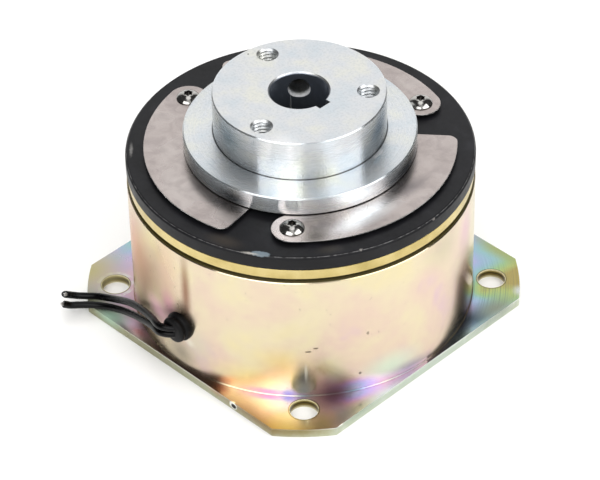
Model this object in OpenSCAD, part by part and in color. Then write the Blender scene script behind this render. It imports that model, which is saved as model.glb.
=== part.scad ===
// Electromagnetic power-on brake: a fixed field with its coil, a keyed hub, and
// an armature disc that hangs from the hub on three leaf springs.
// Millimetres, +Z up along the shaft. The origin is the centre of the mounting
// plate's lower face, and the plate's straight sides run along X and Y.

/* [Mounting plate] */
// Width of the square blank, side to side
plate_side = 116.8; // [115.6:0.2:126]
// Diameter that the four corners are turned to
plate_corner_d = 146; // [142:0.5:156]
// Thickness of the plate
plate_t = 3.2; // [2.8:0.1:6]
// Bolt circle of the four mounting holes
bolt_circle_d = 127; // [125.5:0.5:130]
// Diameter of the mounting holes
bolt_hole_d = 9.5; // [7:0.1:10.5]
// Diameter of the plate's hole round the shaft
plate_bore_d = 44; // [36:0.5:54]

/* [Field housing] */
// Outer diameter of the housing tube
housing_d = 114.3; // [113.4:0.1:115.2]
// Height of the housing above the plate
housing_h = 48; // [40:0.5:60]
// Wall of the housing tube
housing_wall = 7.8; // [7:0.1:8.6]
// Chamfer on the housing's rim and foot
housing_edge = 0.5; // [0.2:0.1:0.9]

/* [Poles] */
// Step from the housing's outside in to the pole ring's outside
pole_ring_step = 0.45; // [0.1:0.05:1.5]
// Height of the pole ring's lip
pole_lip_h = 3.7; // [2.6:0.1:6]
// Radial width of the outer pole's face
outer_pole_w = 11.2; // [9.6:0.1:12.4]
// Height of the shadow groove between the housing's rim and the ring's lip
groove_h = 1.1; // [0.6:0.1:2.5]
// Depth of the ring's seat below the housing's rim
seat_depth = 7; // [4:0.5:11]
// Width of the ledge that the ring's spigot stands on
seat_w = 1.5; // [1:0.1:2.2]
// Outer diameter of the inner pole
core_d = 62; // [56:0.5:66]
// Diameter of the clear bore through the inner pole
shaft_clear_d = 32; // [26:0.5:36]
// Thickness of the inner pole's back flange
core_flange_t = 7; // [6:0.5:10]
// Thickness of the friction lining between the poles
friction_t = 6; // [4:0.5:8]

/* [Coil] */
// Wall of the bobbin
bobbin_wall = 1.2; // [0.8:0.1:2]
// Thickness of the tape round the winding
tape_t = 0.5; // [0.3:0.1:1]
// Depth of the bobbin's outer recess that the tape lies in
tape_recess = 0.8; // [0.7:0.1:1.6]

/* [Core screws] */
// Bolt circle of the flat-head screws that hold the inner pole
core_screw_circle_d = 80; // [78:0.5:84]
// Shank diameter of the core screws
core_screw_d = 4.8; // [4:0.1:5.5]
// Head diameter of the core screws
core_screw_head_d = 9; // [8:0.1:10]
// Reach of the core screws into the back flange
core_screw_grip = 5; // [3:0.5:5.5]
// Number of core screws
core_screw_count = 4; // [3:1:6]

/* [Lead bushing] */
// Height of the bushing's centre above the plate's lower face
bushing_z = 20.3; // [17:0.1:26]
// Direction that the bushing faces
bushing_az = -89; // [-100:1:-80]
// Diameter of the bushing's two collars
bushing_d = 10.2; // [9:0.1:12]
// Diameter of the hole through the housing wall
bushing_hole_d = 8; // [7:0.1:8.6]
// Reach of the bushing out of the housing
bushing_reach = 3.8; // [3:0.1:5]
// Diameter of the two lead wires over their insulation
lead_d = 2.4; // [2:0.1:2.5]
// Distance between the two leads at the bushing
lead_pitch = 2.7; // [2.7:0.1:3.2]
// Diameter of the bare strands at the cut ends
strand_d = 1.5; // [1:0.1:1.8]
// Length of bare strands that shows
strand_bare = 0.5; // [0.4:0.1:3]

/* [Armature] */
// Released air gap between the poles and the armature
air_gap = 0.5; // [0.3:0.05:1]
// Diameter of the armature disc
armature_d = 114.3; // [112:0.1:116]
// Thickness of the armature disc
armature_t = 4.9; // [4:0.1:8]
// Diameter of the armature's bore
armature_bore_d = 42; // [38:0.5:50]
// Chamfer on the armature's upper outer edge
armature_edge = 0.7; // [0.2:0.1:1.2]
// Diameter of the relief holes that clear the rivet heads
relief_d = 9; // [7.6:0.1:10]

/* [Leaf springs] */
// Distance from the disc's rim in to the springs' outer edge
spring_margin = 6.05; // [4:0.05:8]
// Thickness of a spring
spring_t = 0.5; // [0.3:0.05:0.8]
// Width of a spring's rounded end
spring_tip_w = 13.3; // [12:0.1:14.5]
// Angle from the armature screw to the wide end's cut edge
spring_sweep = 98; // [94:1:103]
// Lean of the cut edge away from the radius
spring_cut_lean = 10; // [0:1:15]
// Radius of the wide end's corner
spring_corner_r = 3.5; // [1.5:0.1:5]
// Distance from the rivets' centres in to the spring's inner edge
spring_inner_land = 2.6; // [2:0.1:4]
// Direction of the first armature screw
spring_az = -48.5; // [-60:0.5:-40]
// Thickness of the spacers between the springs and the disc
spacer_t = 1.2; // [1.1:0.1:2]
// Diameter of the spacers
spacer_d = 8.6; // [8:0.1:10]
// Thread diameter of the armature screws
armature_screw_d = 4.1; // [3.4:0.1:4.8]
// Head diameter of the armature screws
armature_head_d = 8; // [7.2:0.1:9]
// Head height of the armature screws
armature_head_h = 2.2; // [1.8:0.1:2.6]

/* [Rivets] */
// Distance of the rivets from the flange's edge
rivet_inset = 4.5; // [3.6:0.1:5.2]
// Angle from the armature screw to the rivet of the same spring
rivet_sweep = 88; // [80:1:90]
// Shank diameter of the rivets
rivet_d = 3.2; // [2.6:0.1:3.8]
// Head diameter of the rivets
rivet_head_d = 6.2; // [5.4:0.1:6.8]
// Head height of the rivets
rivet_head_h = 0.9; // [0.6:0.05:1]
// Depth of the rivets in the hub flange
rivet_grip = 4.6; // [3:0.1:4.8]

/* [Hub] */
// Overlap of the flange's edge on the springs' rounded ends, in plan
flange_overlap = 0.3; // [0:0.1:0.8]
// Thickness of the hub's flange
flange_t = 6.4; // [5.4:0.1:9]
// Diameter of the hub's boss
boss_d = 56.5; // [54:0.1:60]
// Height of the boss above the flange
boss_h = 14.4; // [12.6:0.2:25]
// Bore for the shaft
bore_d = 19.05; // [15:0.05:22]
// Width of the keyway
key_w = 4.76; // [3.2:0.01:6.4]
// Depth of the keyway beyond the bore's wall
key_depth = 2.2; // [1.4:0.05:2.8]
// Bolt circle of the tapped holes in the boss face
tap_circle_d = 44.45; // [43.2:0.05:45.6]
// Tapping diameter of those holes
tap_d = 5.1; // [4.2:0.1:5.6]
// Depth of the tapped holes
tap_depth = 12.5; // [9:0.5:13.5]
// Width of a tapped hole's countersunk mouth
tap_mouth_d = 7.4; // [6.4:0.1:8.2]
// Direction of the first tapped hole from the keyway
tap_az = 42.5; // [38:0.5:50]
// Chamfer on the hub's turned edges
hub_edge = 0.4; // [0.2:0.1:0.8]
// Chamfer at the bore's mouths
bore_edge = 0.6; // [0.3:0.1:1]

/* [Set screw] */
// Diameter of the set screw's hole
set_hole_d = 7.4; // [5.6:0.1:8]
// Depth of the set screw's centre below the boss face
set_drop = 6.3; // [4.5:0.1:8]
// Direction of the set screw from the keyway
set_az = 135.5; // [125:0.5:145]
// Length of the set screw
set_len = 8; // [5:0.5:10]
// Distance of the set screw's outer end below the boss's side
set_sink = 1.5; // [0.5:0.1:4]
// Width across the flats of the set screw's socket
set_socket_af = 4; // [2:0.1:4.2]

/* [Hidden] */
$fn = 96;

// Clearances between pieces
fit_clear = 0.05;
thread_clear = 0.05;
coil_clear = 0.2;
seat_clear = 0.5;
// A cut runs this far past the face that it opens
past = 1;
// A blind hole is this much deeper than what it holds
drill_over = 0.3;

// Radii of the field
housing_r = housing_d / 2;
housing_bore_r = housing_r - housing_wall;
seat_r = housing_bore_r + seat_w;
pole_ring_r = housing_r - pole_ring_step;
outer_pole_in_r = pole_ring_r - outer_pole_w;
core_r = core_d / 2;
shaft_clear_r = shaft_clear_d / 2;

// Heights of the field, from the plate up
rim_z = plate_t + housing_h;
lip_z = rim_z + groove_h;
face_z = lip_z + pole_lip_h;
seat_z = rim_z - seat_depth;
flange_top_z = plate_t + core_flange_t;
bobbin_top_z = seat_z - seat_clear;
lining_z = face_z - friction_t;

// Radii of the coil
bobbin_in_r = core_r + coil_clear;
bobbin_out_r = housing_bore_r - coil_clear;
winding_in_r = bobbin_in_r + bobbin_wall;
winding_out_r = bobbin_out_r - tape_recess;
winding_low_z = flange_top_z + bobbin_wall;
winding_top_z = bobbin_top_z - bobbin_wall;

// Countersink of the core screws
core_head_h = (core_screw_head_d - core_screw_d) / 2;
core_head_sink = 0.15;
core_socket_share = 0.7;

// Heights of the rotor, from the pole faces up
disc_z = face_z + air_gap;
disc_top_z = disc_z + armature_t;
spring_z = disc_top_z + spacer_t;
hub_z = spring_z + spring_t;
hub_flange_top_z = hub_z + flange_t;
hub_top_z = hub_flange_top_z + boss_h;

// Plan of the springs
spring_r = armature_d / 2 - spring_margin;
spring_tip_r = spring_tip_w / 2;
spring_screw_r = spring_r - spring_tip_r;
flange_r = spring_r - spring_tip_w + flange_overlap;
rivet_r = flange_r - rivet_inset;
spring_inner_r = rivet_r - spring_inner_land;
spring_inner_shift = spring_r - spring_tip_w - spring_inner_r;
spring_count = 3;
cut_edge_r = flange_r;
// The corner's arc is this much larger, so that it crosses the cut edge and the rim
corner_cross = 1.02;
hole_clear = 0.1;

// Hub
bore_r = bore_d / 2;
tap_count = 3;
tap_drill_tip = 1.2;
tap_drill_point_d = 0.4;
set_z = hub_top_z - set_drop;
set_start_r = boss_d / 2 - set_sink - set_len;
set_socket_start = 0.55;

// Button heads of the armature screws, the recess in shares of the head's radius and height
head_rim_h = 0.3;
recess_share = 0.4;
recess_floor_share = 0.45;
screw_end_short = 0.6;
// Six-lobe recess, in shares of its own radius
lobe_core = 0.8;
lobe_r = 0.25;

// Bushing and leads
bushing_slot_d = lead_d + 0.1;
splice_d = lead_d - 0.1;
groove_share = 0.35;
slot_share = 0.75;
splice_share = 0.5;
plug_short = 0.6;
lead_sides = 8;

// Routes of the two leads, from inside the bushing to the cut ends
lead_route_1 = [
    [1.9, -60.1, 21.6], [0.7, -61.3, 21.6], [-0.9, -62.3, 21.6], [-2.8, -62.7, 21.4],
    [-4.8, -62.3, 21], [-8, -60.9, 20], [-12, -59.4, 18.6], [-16.5, -57.9, 17],
    [-21, -56.6, 15.2], [-25.5, -55.5, 13.2], [-30, -54.6, 10.8], [-34.5, -54, 8.4],
    [-39, -54, 6.4], [-43, -54.9, 5.2], [-46.2, -56.9, 4.7], [-48.4, -58.8, 4.7],
    [-49.8, -60.5, 5.2], [-50.4, -62, 6]
];
lead_route_2 = [
    [1.9, -60.1, 19], [0.7, -61.3, 19], [-0.9, -62.3, 18.9], [-2.8, -62.7, 18.6],
    [-4.8, -62.3, 18.1], [-8, -61, 16.9], [-12, -59.7, 15.2], [-16.5, -58.4, 13.2],
    [-21, -57.2, 11.2], [-25.5, -56.2, 9.2], [-30, -55.6, 7.3], [-34.5, -55.7, 5.7],
    [-38.5, -56.8, 4.8], [-41.8, -58.9, 4.6], [-44.8, -61.8, 4.6], [-46.6, -64, 4.8],
    [-47.6, -66, 5.3]
];

function unit(v) = v / norm(v);

// Direction of the route at point i
function route_dir(route, i) =
    unit(route[min(i + 1, len(route) - 1)] - route[max(i - 1, 0)]);

// One ring of the tube's corners round point i
function route_ring(route, i, r) =
    let (
        along = route_dir(route, i),
        side = unit(cross(along, [0, 0, 1])),
        up = cross(side, along)
    )
    [for (k = [0 : lead_sides - 1])
        let (a = 360 * k / lead_sides)
        route[i] + r * cos(a) * side + r * sin(a) * up];

// A tube swept along a route
module route_tube(route, d) {
    rings = len(route);
    corners = [for (i = [0 : rings - 1]) each route_ring(route, i, d / 2)];
    walls = [
        for (i = [0 : rings - 2], k = [0 : lead_sides - 1])
            let (next = (k + 1) % lead_sides, low = i * lead_sides, high = low + lead_sides)
            each [
                [low + k, low + next, high + next],
                [low + k, high + next, high + k]
            ]
    ];
    start_cap = [for (k = [0 : lead_sides - 1]) lead_sides - 1 - k];
    end_cap = [for (k = [0 : lead_sides - 1]) (rings - 1) * lead_sides + k];
    polyhedron(points = corners, faces = concat(walls, [start_cap, end_cap]));
}

// A ring standing on z
module ring(z, h, outer_r, inner_r) {
    translate([0, 0, z])
        difference() {
            cylinder(h = h, r = outer_r);
            translate([0, 0, -past]) cylinder(h = h + 2 * past, r = inner_r);
        }
}

// Places its child at the azimuth and radius, once or evenly round the axis
module around(count, az, r) {
    for (i = [0 : count - 1])
        rotate([0, 0, az + 360 * i / count])
            translate([r, 0, 0])
                children();
}

// Turns its child so that its +Z points out of the bushing's hole
module out_of_wall() {
    rotate([0, 0, bushing_az])
        translate([housing_r, 0, bushing_z])
            rotate([0, 90, 0])
                children();
}

module mounting_plate() {
    color("darkkhaki")
        difference() {
            linear_extrude(height = plate_t)
                difference() {
                    intersection() {
                        square(plate_side, center = true);
                        circle(d = plate_corner_d);
                    }
                    around(4, 45, bolt_circle_d / 2) circle(d = bolt_hole_d);
                    circle(d = plate_bore_d);
                }
            around(core_screw_count, 0, core_screw_circle_d / 2) core_screw_hole();
        }
}

// Countersunk hole for a core screw
module core_screw_hole() {
    head_r = core_screw_head_d / 2;
    shank_r = core_screw_d / 2 + thread_clear;
    translate([0, 0, -past]) cylinder(h = past + core_head_sink + fit_clear, r = head_r + fit_clear);
    translate([0, 0, core_head_sink])
        cylinder(h = core_head_h + fit_clear, r1 = head_r + fit_clear, r2 = shank_r);
    cylinder(h = plate_t + past, r = shank_r);
}

module field_housing() {
    color("burlywood")
        difference() {
            rotate_extrude()
                polygon([
                    [housing_bore_r, plate_t],
                    [housing_r - housing_edge, plate_t],
                    [housing_r, plate_t + housing_edge],
                    [housing_r, rim_z - housing_edge],
                    [housing_r - housing_edge, rim_z],
                    [seat_r, rim_z],
                    [seat_r, seat_z],
                    [housing_bore_r, seat_z]
                ]);
            out_of_wall()
                translate([0, 0, -housing_wall - past])
                    cylinder(h = housing_wall + 2 * past, d = bushing_hole_d);
        }
}

module outer_pole_ring() {
    color("goldenrod")
        rotate_extrude()
            polygon([
                [outer_pole_in_r, seat_z],
                [seat_r - fit_clear, seat_z],
                [seat_r - fit_clear, lip_z],
                [pole_ring_r, lip_z],
                [pole_ring_r, face_z],
                [outer_pole_in_r, face_z]
            ]);
}

module inner_pole() {
    back_r = housing_bore_r - coil_clear;
    color("silver")
        difference() {
            rotate_extrude()
                polygon([
                    [shaft_clear_r, plate_t],
                    [back_r, plate_t],
                    [back_r, flange_top_z],
                    [core_r, flange_top_z],
                    [core_r, face_z],
                    [shaft_clear_r, face_z]
                ]);
            around(core_screw_count, 0, core_screw_circle_d / 2)
                translate([0, 0, plate_t - past])
                    cylinder(h = past + core_screw_grip + drill_over, r = core_screw_d / 2 + thread_clear);
        }
}

module core_screws() {
    head_r = core_screw_head_d / 2;
    socket_depth = core_socket_share * core_head_h;
    socket_d = core_socket_share * core_screw_d;
    color("dimgray")
        around(core_screw_count, 0, core_screw_circle_d / 2)
            difference() {
                union() {
                    translate([0, 0, core_head_sink])
                        cylinder(h = core_head_h, r1 = head_r, r2 = core_screw_d / 2);
                    translate([0, 0, core_head_sink])
                        cylinder(h = plate_t + core_screw_grip - core_head_sink, d = core_screw_d);
                }
                translate([0, 0, core_head_sink - past])
                    cylinder(h = past + socket_depth, d = socket_d, $fn = 6);
            }
}

module coil_bobbin() {
    color("ivory")
        rotate_extrude()
            polygon([
                [bobbin_in_r, flange_top_z],
                [bobbin_out_r, flange_top_z],
                [bobbin_out_r, winding_low_z],
                [winding_in_r, winding_low_z],
                [winding_in_r, winding_top_z],
                [bobbin_out_r, winding_top_z],
                [bobbin_out_r, bobbin_top_z],
                [bobbin_in_r, bobbin_top_z]
            ]);
}

module coil_winding() {
    color("peru")
        ring(winding_low_z, winding_top_z - winding_low_z, winding_out_r, winding_in_r);
}

module coil_tape() {
    color("khaki")
        ring(winding_low_z, winding_top_z - winding_low_z, winding_out_r + tape_t, winding_out_r);
}

module coil_potting() {
    color("darkslategray")
        ring(bobbin_top_z, lining_z - bobbin_top_z, outer_pole_in_r - fit_clear, core_r + fit_clear);
}

module friction_ring() {
    color("saddlebrown")
        ring(lining_z, friction_t, outer_pole_in_r - fit_clear, core_r + fit_clear);
}

// Outside of the bushing: two collars and the groove between them
module bushing_collars() {
    collar_h = bushing_reach * (1 - groove_share) / 2;
    sunk = 1;
    translate([0, 0, -sunk]) cylinder(h = sunk + collar_h, d = bushing_d);
    cylinder(h = bushing_reach, d = bushing_hole_d);
    translate([0, 0, bushing_reach - collar_h]) cylinder(h = collar_h, d = bushing_d);
}

// Rubber bushing: a plug through the wall, and collars seated on the wall's curve
module lead_bushing() {
    plug_depth = housing_wall - plug_short;
    plug_root = 0.5;
    color("black")
        difference() {
            union() {
                difference() {
                    out_of_wall() bushing_collars();
                    translate([0, 0, plate_t]) cylinder(h = housing_h, r = housing_r + fit_clear);
                }
                out_of_wall()
                    translate([0, 0, -plug_depth])
                        cylinder(h = plug_depth + plug_root, r = bushing_hole_d / 2 - fit_clear);
            }
            out_of_wall()
                for (side = [-1, 1])
                    translate([side * lead_pitch / 2, 0, -housing_wall - past])
                        cylinder(
                            h = housing_wall + past + bushing_reach * slot_share,
                            d = bushing_slot_d
                        );
        }
}

// Crimped joints between the coil's ends and the leads, inside the bushing
module lead_splices() {
    inner_reach = housing_wall + coil_clear;
    color("whitesmoke")
        out_of_wall()
            for (side = [-1, 1])
                translate([side * lead_pitch / 2, 0, -inner_reach])
                    cylinder(h = inner_reach + bushing_reach * splice_share, d = splice_d);
}

module lead_wire_1() {
    color("black") route_tube(lead_route_1, lead_d);
}

module lead_wire_2() {
    color("black") route_tube(lead_route_2, lead_d);
}

// Bare strands that end a route
module strand_tip(route) {
    last = len(route) - 1;
    along = unit(route[last] - route[last - 1]);
    turn = atan2(along[1], along[0]);
    tilt = acos(along[2]);
    translate(route[last])
        rotate([0, tilt, turn])
            cylinder(h = strand_bare, d = strand_d);
}

module lead_strands() {
    color("lightgray") {
        strand_tip(lead_route_1);
        strand_tip(lead_route_2);
    }
}

// Turned outline of the hub
module hub_blank() {
    boss_r = boss_d / 2;
    rotate_extrude()
        polygon([
            [0, hub_z],
            [flange_r - hub_edge, hub_z],
            [flange_r, hub_z + hub_edge],
            [flange_r, hub_flange_top_z - hub_edge],
            [flange_r - hub_edge, hub_flange_top_z],
            [boss_r, hub_flange_top_z],
            [boss_r, hub_top_z - hub_edge],
            [boss_r - hub_edge, hub_top_z],
            [0, hub_top_z]
        ]);
}

// Tapped blind hole in the boss face, opening at z = 0
module tapped_hole() {
    mouth_h = (tap_mouth_d - tap_d) / 2;
    translate([0, 0, -tap_depth]) cylinder(h = tap_depth + past, d = tap_d);
    translate([0, 0, -tap_depth - tap_drill_tip])
        cylinder(h = tap_drill_tip, d1 = tap_drill_point_d, d2 = tap_d);
    translate([0, 0, -mouth_h]) cylinder(h = mouth_h, d1 = tap_d, d2 = tap_mouth_d);
}

module armature_hub() {
    hub_h = hub_top_z - hub_z;
    color("gainsboro")
        difference() {
            hub_blank();
            translate([0, 0, hub_z - past]) cylinder(h = hub_h + 2 * past, r = bore_r);
            translate([0, -key_w / 2, hub_z - past])
                cube([bore_r + key_depth, key_w, hub_h + 2 * past]);
            translate([0, 0, hub_top_z - bore_edge])
                cylinder(h = bore_edge, r1 = bore_r, r2 = bore_r + bore_edge);
            translate([0, 0, hub_z])
                cylinder(h = bore_edge, r1 = bore_r + bore_edge, r2 = bore_r);
            translate([0, 0, hub_top_z])
                around(tap_count, tap_az, tap_circle_d / 2) tapped_hole();
            around(spring_count, spring_az + rivet_sweep, rivet_r)
                translate([0, 0, hub_z - past])
                    cylinder(h = past + rivet_grip + drill_over, r = rivet_d / 2 + fit_clear);
            rotate([0, 0, set_az])
                translate([0, 0, set_z])
                    rotate([0, 90, 0])
                        cylinder(h = boss_d / 2 + past, d = set_hole_d);
        }
}

module set_screw() {
    cup_h = 0.6;
    screw_r = set_hole_d / 2 - thread_clear;
    color("dimgray")
        rotate([0, 0, set_az])
            translate([set_start_r, 0, set_z])
                rotate([0, 90, 0])
                    difference() {
                        union() {
                            cylinder(h = cup_h, r1 = screw_r - cup_h, r2 = screw_r);
                            translate([0, 0, cup_h]) cylinder(h = set_len - cup_h, r = screw_r);
                        }
                        translate([0, 0, set_socket_start * set_len])
                            cylinder(h = set_len, d = set_socket_af / cos(30), $fn = 6);
                    }
}

module hub_rivets() {
    color("silver")
        around(spring_count, spring_az + rivet_sweep, rivet_r) {
            translate([0, 0, spring_z]) cylinder(h = spring_t + rivet_grip, d = rivet_d);
            translate([0, 0, spring_z - rivet_head_h])
                cylinder(h = rivet_head_h, d = rivet_head_d);
        }
}

// Plan of a leaf spring whose armature screw lies on the X axis
module leaf_spring_plan() {
    far = 2 * spring_r;
    // The cut edge passes through this point and leans back from the radius
    cut_point = cut_edge_r * [cos(spring_sweep), sin(spring_sweep)];
    cut_angle = spring_sweep - spring_cut_lean;
    cut_dir = [cos(cut_angle), sin(cut_angle)];
    cut_out = [-sin(cut_angle), cos(cut_angle)];
    // The corner's centre lies one corner radius inside the cut edge and the rim
    foot = cut_point - spring_corner_r * cut_out;
    reach = spring_r - spring_corner_r;
    along = -(foot * cut_dir) + sqrt(pow(foot * cut_dir, 2) - foot * foot + reach * reach);
    corner = foot + along * cut_dir;
    difference() {
        union() {
            intersection() {
                difference() {
                    circle(r = spring_r);
                    translate([spring_inner_shift, 0]) circle(r = spring_inner_r);
                }
                polygon([
                    [0, 0],
                    [far, 0],
                    [far, far],
                    cut_point + far * cut_dir,
                    cut_point - cut_edge_r * cut_dir
                ]);
            }
            intersection() {
                translate([spring_screw_r, 0]) circle(r = spring_tip_r);
                translate([0, -far]) square(far);
            }
        }
        difference() {
            polygon([
                corner,
                corner + 2 * spring_corner_r * unit(corner),
                corner + 3 * spring_corner_r * unit(cut_out + unit(corner)),
                corner + 2 * spring_corner_r * cut_out
            ]);
            translate(corner) circle(r = corner_cross * spring_corner_r);
        }
        translate([spring_screw_r, 0]) circle(r = armature_screw_d / 2 + hole_clear);
        rotate(rivet_sweep) translate([rivet_r, 0]) circle(r = rivet_d / 2 + fit_clear);
    }
}

module leaf_spring(i) {
    color("silver")
        rotate([0, 0, spring_az + 360 * i / spring_count])
            translate([0, 0, spring_z])
                linear_extrude(height = spring_t)
                    leaf_spring_plan();
}

module leaf_spring_1() {
    leaf_spring(0);
}

module leaf_spring_2() {
    leaf_spring(1);
}

module leaf_spring_3() {
    leaf_spring(2);
}

module armature_disc() {
    disc_r = armature_d / 2;
    bore = armature_bore_d / 2;
    color("dimgray")
        difference() {
            rotate_extrude()
                polygon([
                    [bore, disc_z],
                    [disc_r, disc_z],
                    [disc_r, disc_top_z - armature_edge],
                    [disc_r - armature_edge, disc_top_z],
                    [bore, disc_top_z]
                ]);
            around(spring_count, spring_az, spring_screw_r)
                translate([0, 0, disc_z - past])
                    cylinder(h = armature_t + 2 * past, r = armature_screw_d / 2 + thread_clear);
            around(spring_count, spring_az + rivet_sweep, rivet_r)
                translate([0, 0, disc_z - past])
                    cylinder(h = armature_t + 2 * past, d = relief_d);
        }
}

// Six-lobe recess of a button-head screw
module six_lobe(r) {
    circle(r = lobe_core * r);
    for (a = [0 : 60 : 300])
        rotate(a) translate([(1 - lobe_r) * r, 0]) circle(r = lobe_r * r);
}

module armature_screws() {
    head_r = armature_head_d / 2;
    dome_h = armature_head_h - head_rim_h;
    dome_r = (head_r * head_r + dome_h * dome_h) / (2 * dome_h);
    recess_r = recess_share * head_r;
    screw_len = spring_t + spacer_t + armature_t - screw_end_short;
    color("lightgray")
        around(spring_count, spring_az, spring_screw_r)
            translate([0, 0, hub_z]) {
                difference() {
                    intersection() {
                        cylinder(h = armature_head_h, r = head_r);
                        translate([0, 0, armature_head_h - dome_r]) sphere(r = dome_r);
                    }
                    translate([0, 0, recess_floor_share * armature_head_h])
                        linear_extrude(height = armature_head_h)
                            six_lobe(recess_r);
                }
                translate([0, 0, -screw_len]) cylinder(h = screw_len, d = armature_screw_d);
            }
}

module spring_spacers() {
    color("gray")
        around(spring_count, spring_az, spring_screw_r)
            ring(disc_top_z, spacer_t, spacer_d / 2, armature_screw_d / 2 + hole_clear);
}

mounting_plate();
field_housing();
outer_pole_ring();
inner_pole();
core_screws();
coil_bobbin();
coil_winding();
coil_tape();
coil_potting();
friction_ring();
lead_bushing();
lead_splices();
lead_wire_1();
lead_wire_2();
lead_strands();
armature_hub();
set_screw();
hub_rivets();
leaf_spring_1();
leaf_spring_2();
leaf_spring_3();
armature_disc();
armature_screws();
spring_spacers();
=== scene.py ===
import math
import random

import bmesh
import bpy
from mathutils import Matrix, Vector


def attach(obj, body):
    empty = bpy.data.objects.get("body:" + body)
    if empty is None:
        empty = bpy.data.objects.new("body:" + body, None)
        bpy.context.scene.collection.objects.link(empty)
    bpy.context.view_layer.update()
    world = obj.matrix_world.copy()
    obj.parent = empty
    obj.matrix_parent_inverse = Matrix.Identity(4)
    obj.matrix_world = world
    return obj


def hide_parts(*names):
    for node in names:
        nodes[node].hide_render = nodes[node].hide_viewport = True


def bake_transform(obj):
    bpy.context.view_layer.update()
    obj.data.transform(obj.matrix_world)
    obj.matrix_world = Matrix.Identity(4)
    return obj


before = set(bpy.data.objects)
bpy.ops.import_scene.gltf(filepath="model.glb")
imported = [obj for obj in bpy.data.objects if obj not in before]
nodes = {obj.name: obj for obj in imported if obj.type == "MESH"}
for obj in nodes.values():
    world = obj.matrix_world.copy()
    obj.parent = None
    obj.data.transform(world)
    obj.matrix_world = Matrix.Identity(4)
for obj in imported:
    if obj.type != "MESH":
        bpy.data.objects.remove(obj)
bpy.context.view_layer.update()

scene = bpy.context.scene
# Corners nearer than this, in mm, are one, and faces that turn less than this, in degrees, are flat
sameCorner = 0.002
flatTurn = 0.3


def mm(value):
    return value / 1000


def point(x, y, z):
    return Vector((mm(x), mm(y), mm(z)))


def hexColour(code):
    parts = [int(code[i:i + 2], 16) / 255 for i in (1, 3, 5)]
    return [p / 12.92 if p < 0.04045 else ((p + 0.055) / 1.055) ** 2.4 for p in parts] + [1]


# One node with its inputs (numbers or links), settings and a ramp's stops; it gives back one output
def addNode(tree, kind, inputs=None, stops=None, give=0, **settings):
    node = tree.nodes.new("ShaderNode" + kind)
    for name, value in settings.items():
        setattr(node, name, value)
    for socket, value in (inputs or {}).items():
        if isinstance(value, bpy.types.NodeSocket):
            tree.links.new(value, node.inputs[socket])
        else:
            node.inputs[socket].default_value = value
    if stops:
        ramp = node.color_ramp.elements
        ramp[0].position = stops[0][0]
        ramp[1].position = stops[-1][0]
        for stop in stops[1:-1]:
            ramp.new(stop[0])
        for element, stop in zip(ramp, stops):
            element.color = hexColour(stop[1])
    return node.outputs[give]


# Makes a shape into a piece that rides on a body, smooth up to an angle; flat faces keep their own normals
def addPiece(name, shape, finish, body, stands=(), smoothAngle=35):
    mesh = bpy.data.meshes.new(name)
    shape.to_mesh(mesh)
    shape.free()
    mesh.materials.append(finish)
    mesh.shade_smooth()
    mesh.set_sharp_from_angle(angle=math.radians(smoothAngle))
    piece = bpy.data.objects.new(name, mesh)
    scene.collection.objects.link(piece)
    if body:
        even = piece.modifiers.new("evenNormals", "WEIGHTED_NORMAL")
        even.keep_sharp = True
        even.weight = 100
        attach(piece, body)
    if stands:
        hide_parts(*stands)
    return piece


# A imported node's shape, given by name or as a bmesh, with its hard edges rounded
def roundedCopy(source, width, segments=2, edgeAngle=30):
    shape = source
    if isinstance(source, str):
        shape = bmesh.new()
        shape.from_mesh(nodes[source].data)
    bmesh.ops.remove_doubles(shape, verts=shape.verts, dist=mm(sameCorner))
    bmesh.ops.dissolve_limit(
        shape, angle_limit=math.radians(flatTurn), verts=shape.verts, edges=shape.edges
    )
    hard = [e for e in shape.edges if e.is_manifold and e.calc_face_angle() > math.radians(edgeAngle)]
    bmesh.ops.bevel(
        shape, geom=hard, offset=mm(width), segments=segments, profile=0.5,
        affect="EDGES", clamp_overlap=True, material=-1,
    )
    return shape


# Closed outline (radius, height) in mm turned round the Z axis
def turnedShape(outline, steps):
    shape = bmesh.new()
    corners = [shape.verts.new(point(r, 0, z)) for r, z in outline]
    sides = [shape.edges.new(pair) for pair in zip(corners, corners[1:] + corners[:1])]
    bmesh.ops.spin(
        shape, geom=corners + sides, cent=(0, 0, 0), axis=(0, 0, 1),
        angle=math.tau, steps=steps, use_merge=True,
    )
    bmesh.ops.remove_doubles(shape, verts=shape.verts, dist=mm(sameCorner))
    bmesh.ops.recalc_face_normals(shape, faces=shape.faces)
    return shape


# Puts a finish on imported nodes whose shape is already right
def dress(finish, *names):
    for name in names:
        for holder in nodes[name].material_slots:
            holder.material = finish


# A material with its constants on the shader's own sockets, its tree and its Object coordinates
def startFinish(name, values):
    finish = bpy.data.materials.new(name)
    finish.use_nodes = True
    tree = finish.node_tree
    shader = tree.nodes["Principled BSDF"]
    for socket, value in values.items():
        shader.inputs[socket].default_value = hexColour(value) if isinstance(value, str) else value
    return finish, tree, addNode(tree, "TexCoord", give="Object")


# Links worked-out values to the shader's sockets
def feedShader(tree, values):
    shader = tree.nodes["Principled BSDF"]
    for socket, value in values.items():
        tree.links.new(value, shader.inputs[socket])


# A finish whose one pattern is a mottle of tones, with a grain in mm
def mottledFinish(name, values, grain, detail, tones):
    finish, tree, place = startFinish(name, values)
    mottle = addNode(tree, "TexNoise", {"Vector": place, "Scale": 1 / mm(grain), "Detail": detail})
    feedShader(tree, {"Base Color": addNode(tree, "ValToRGB", {0: mottle}, stops=tones)})
    return finish


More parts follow.
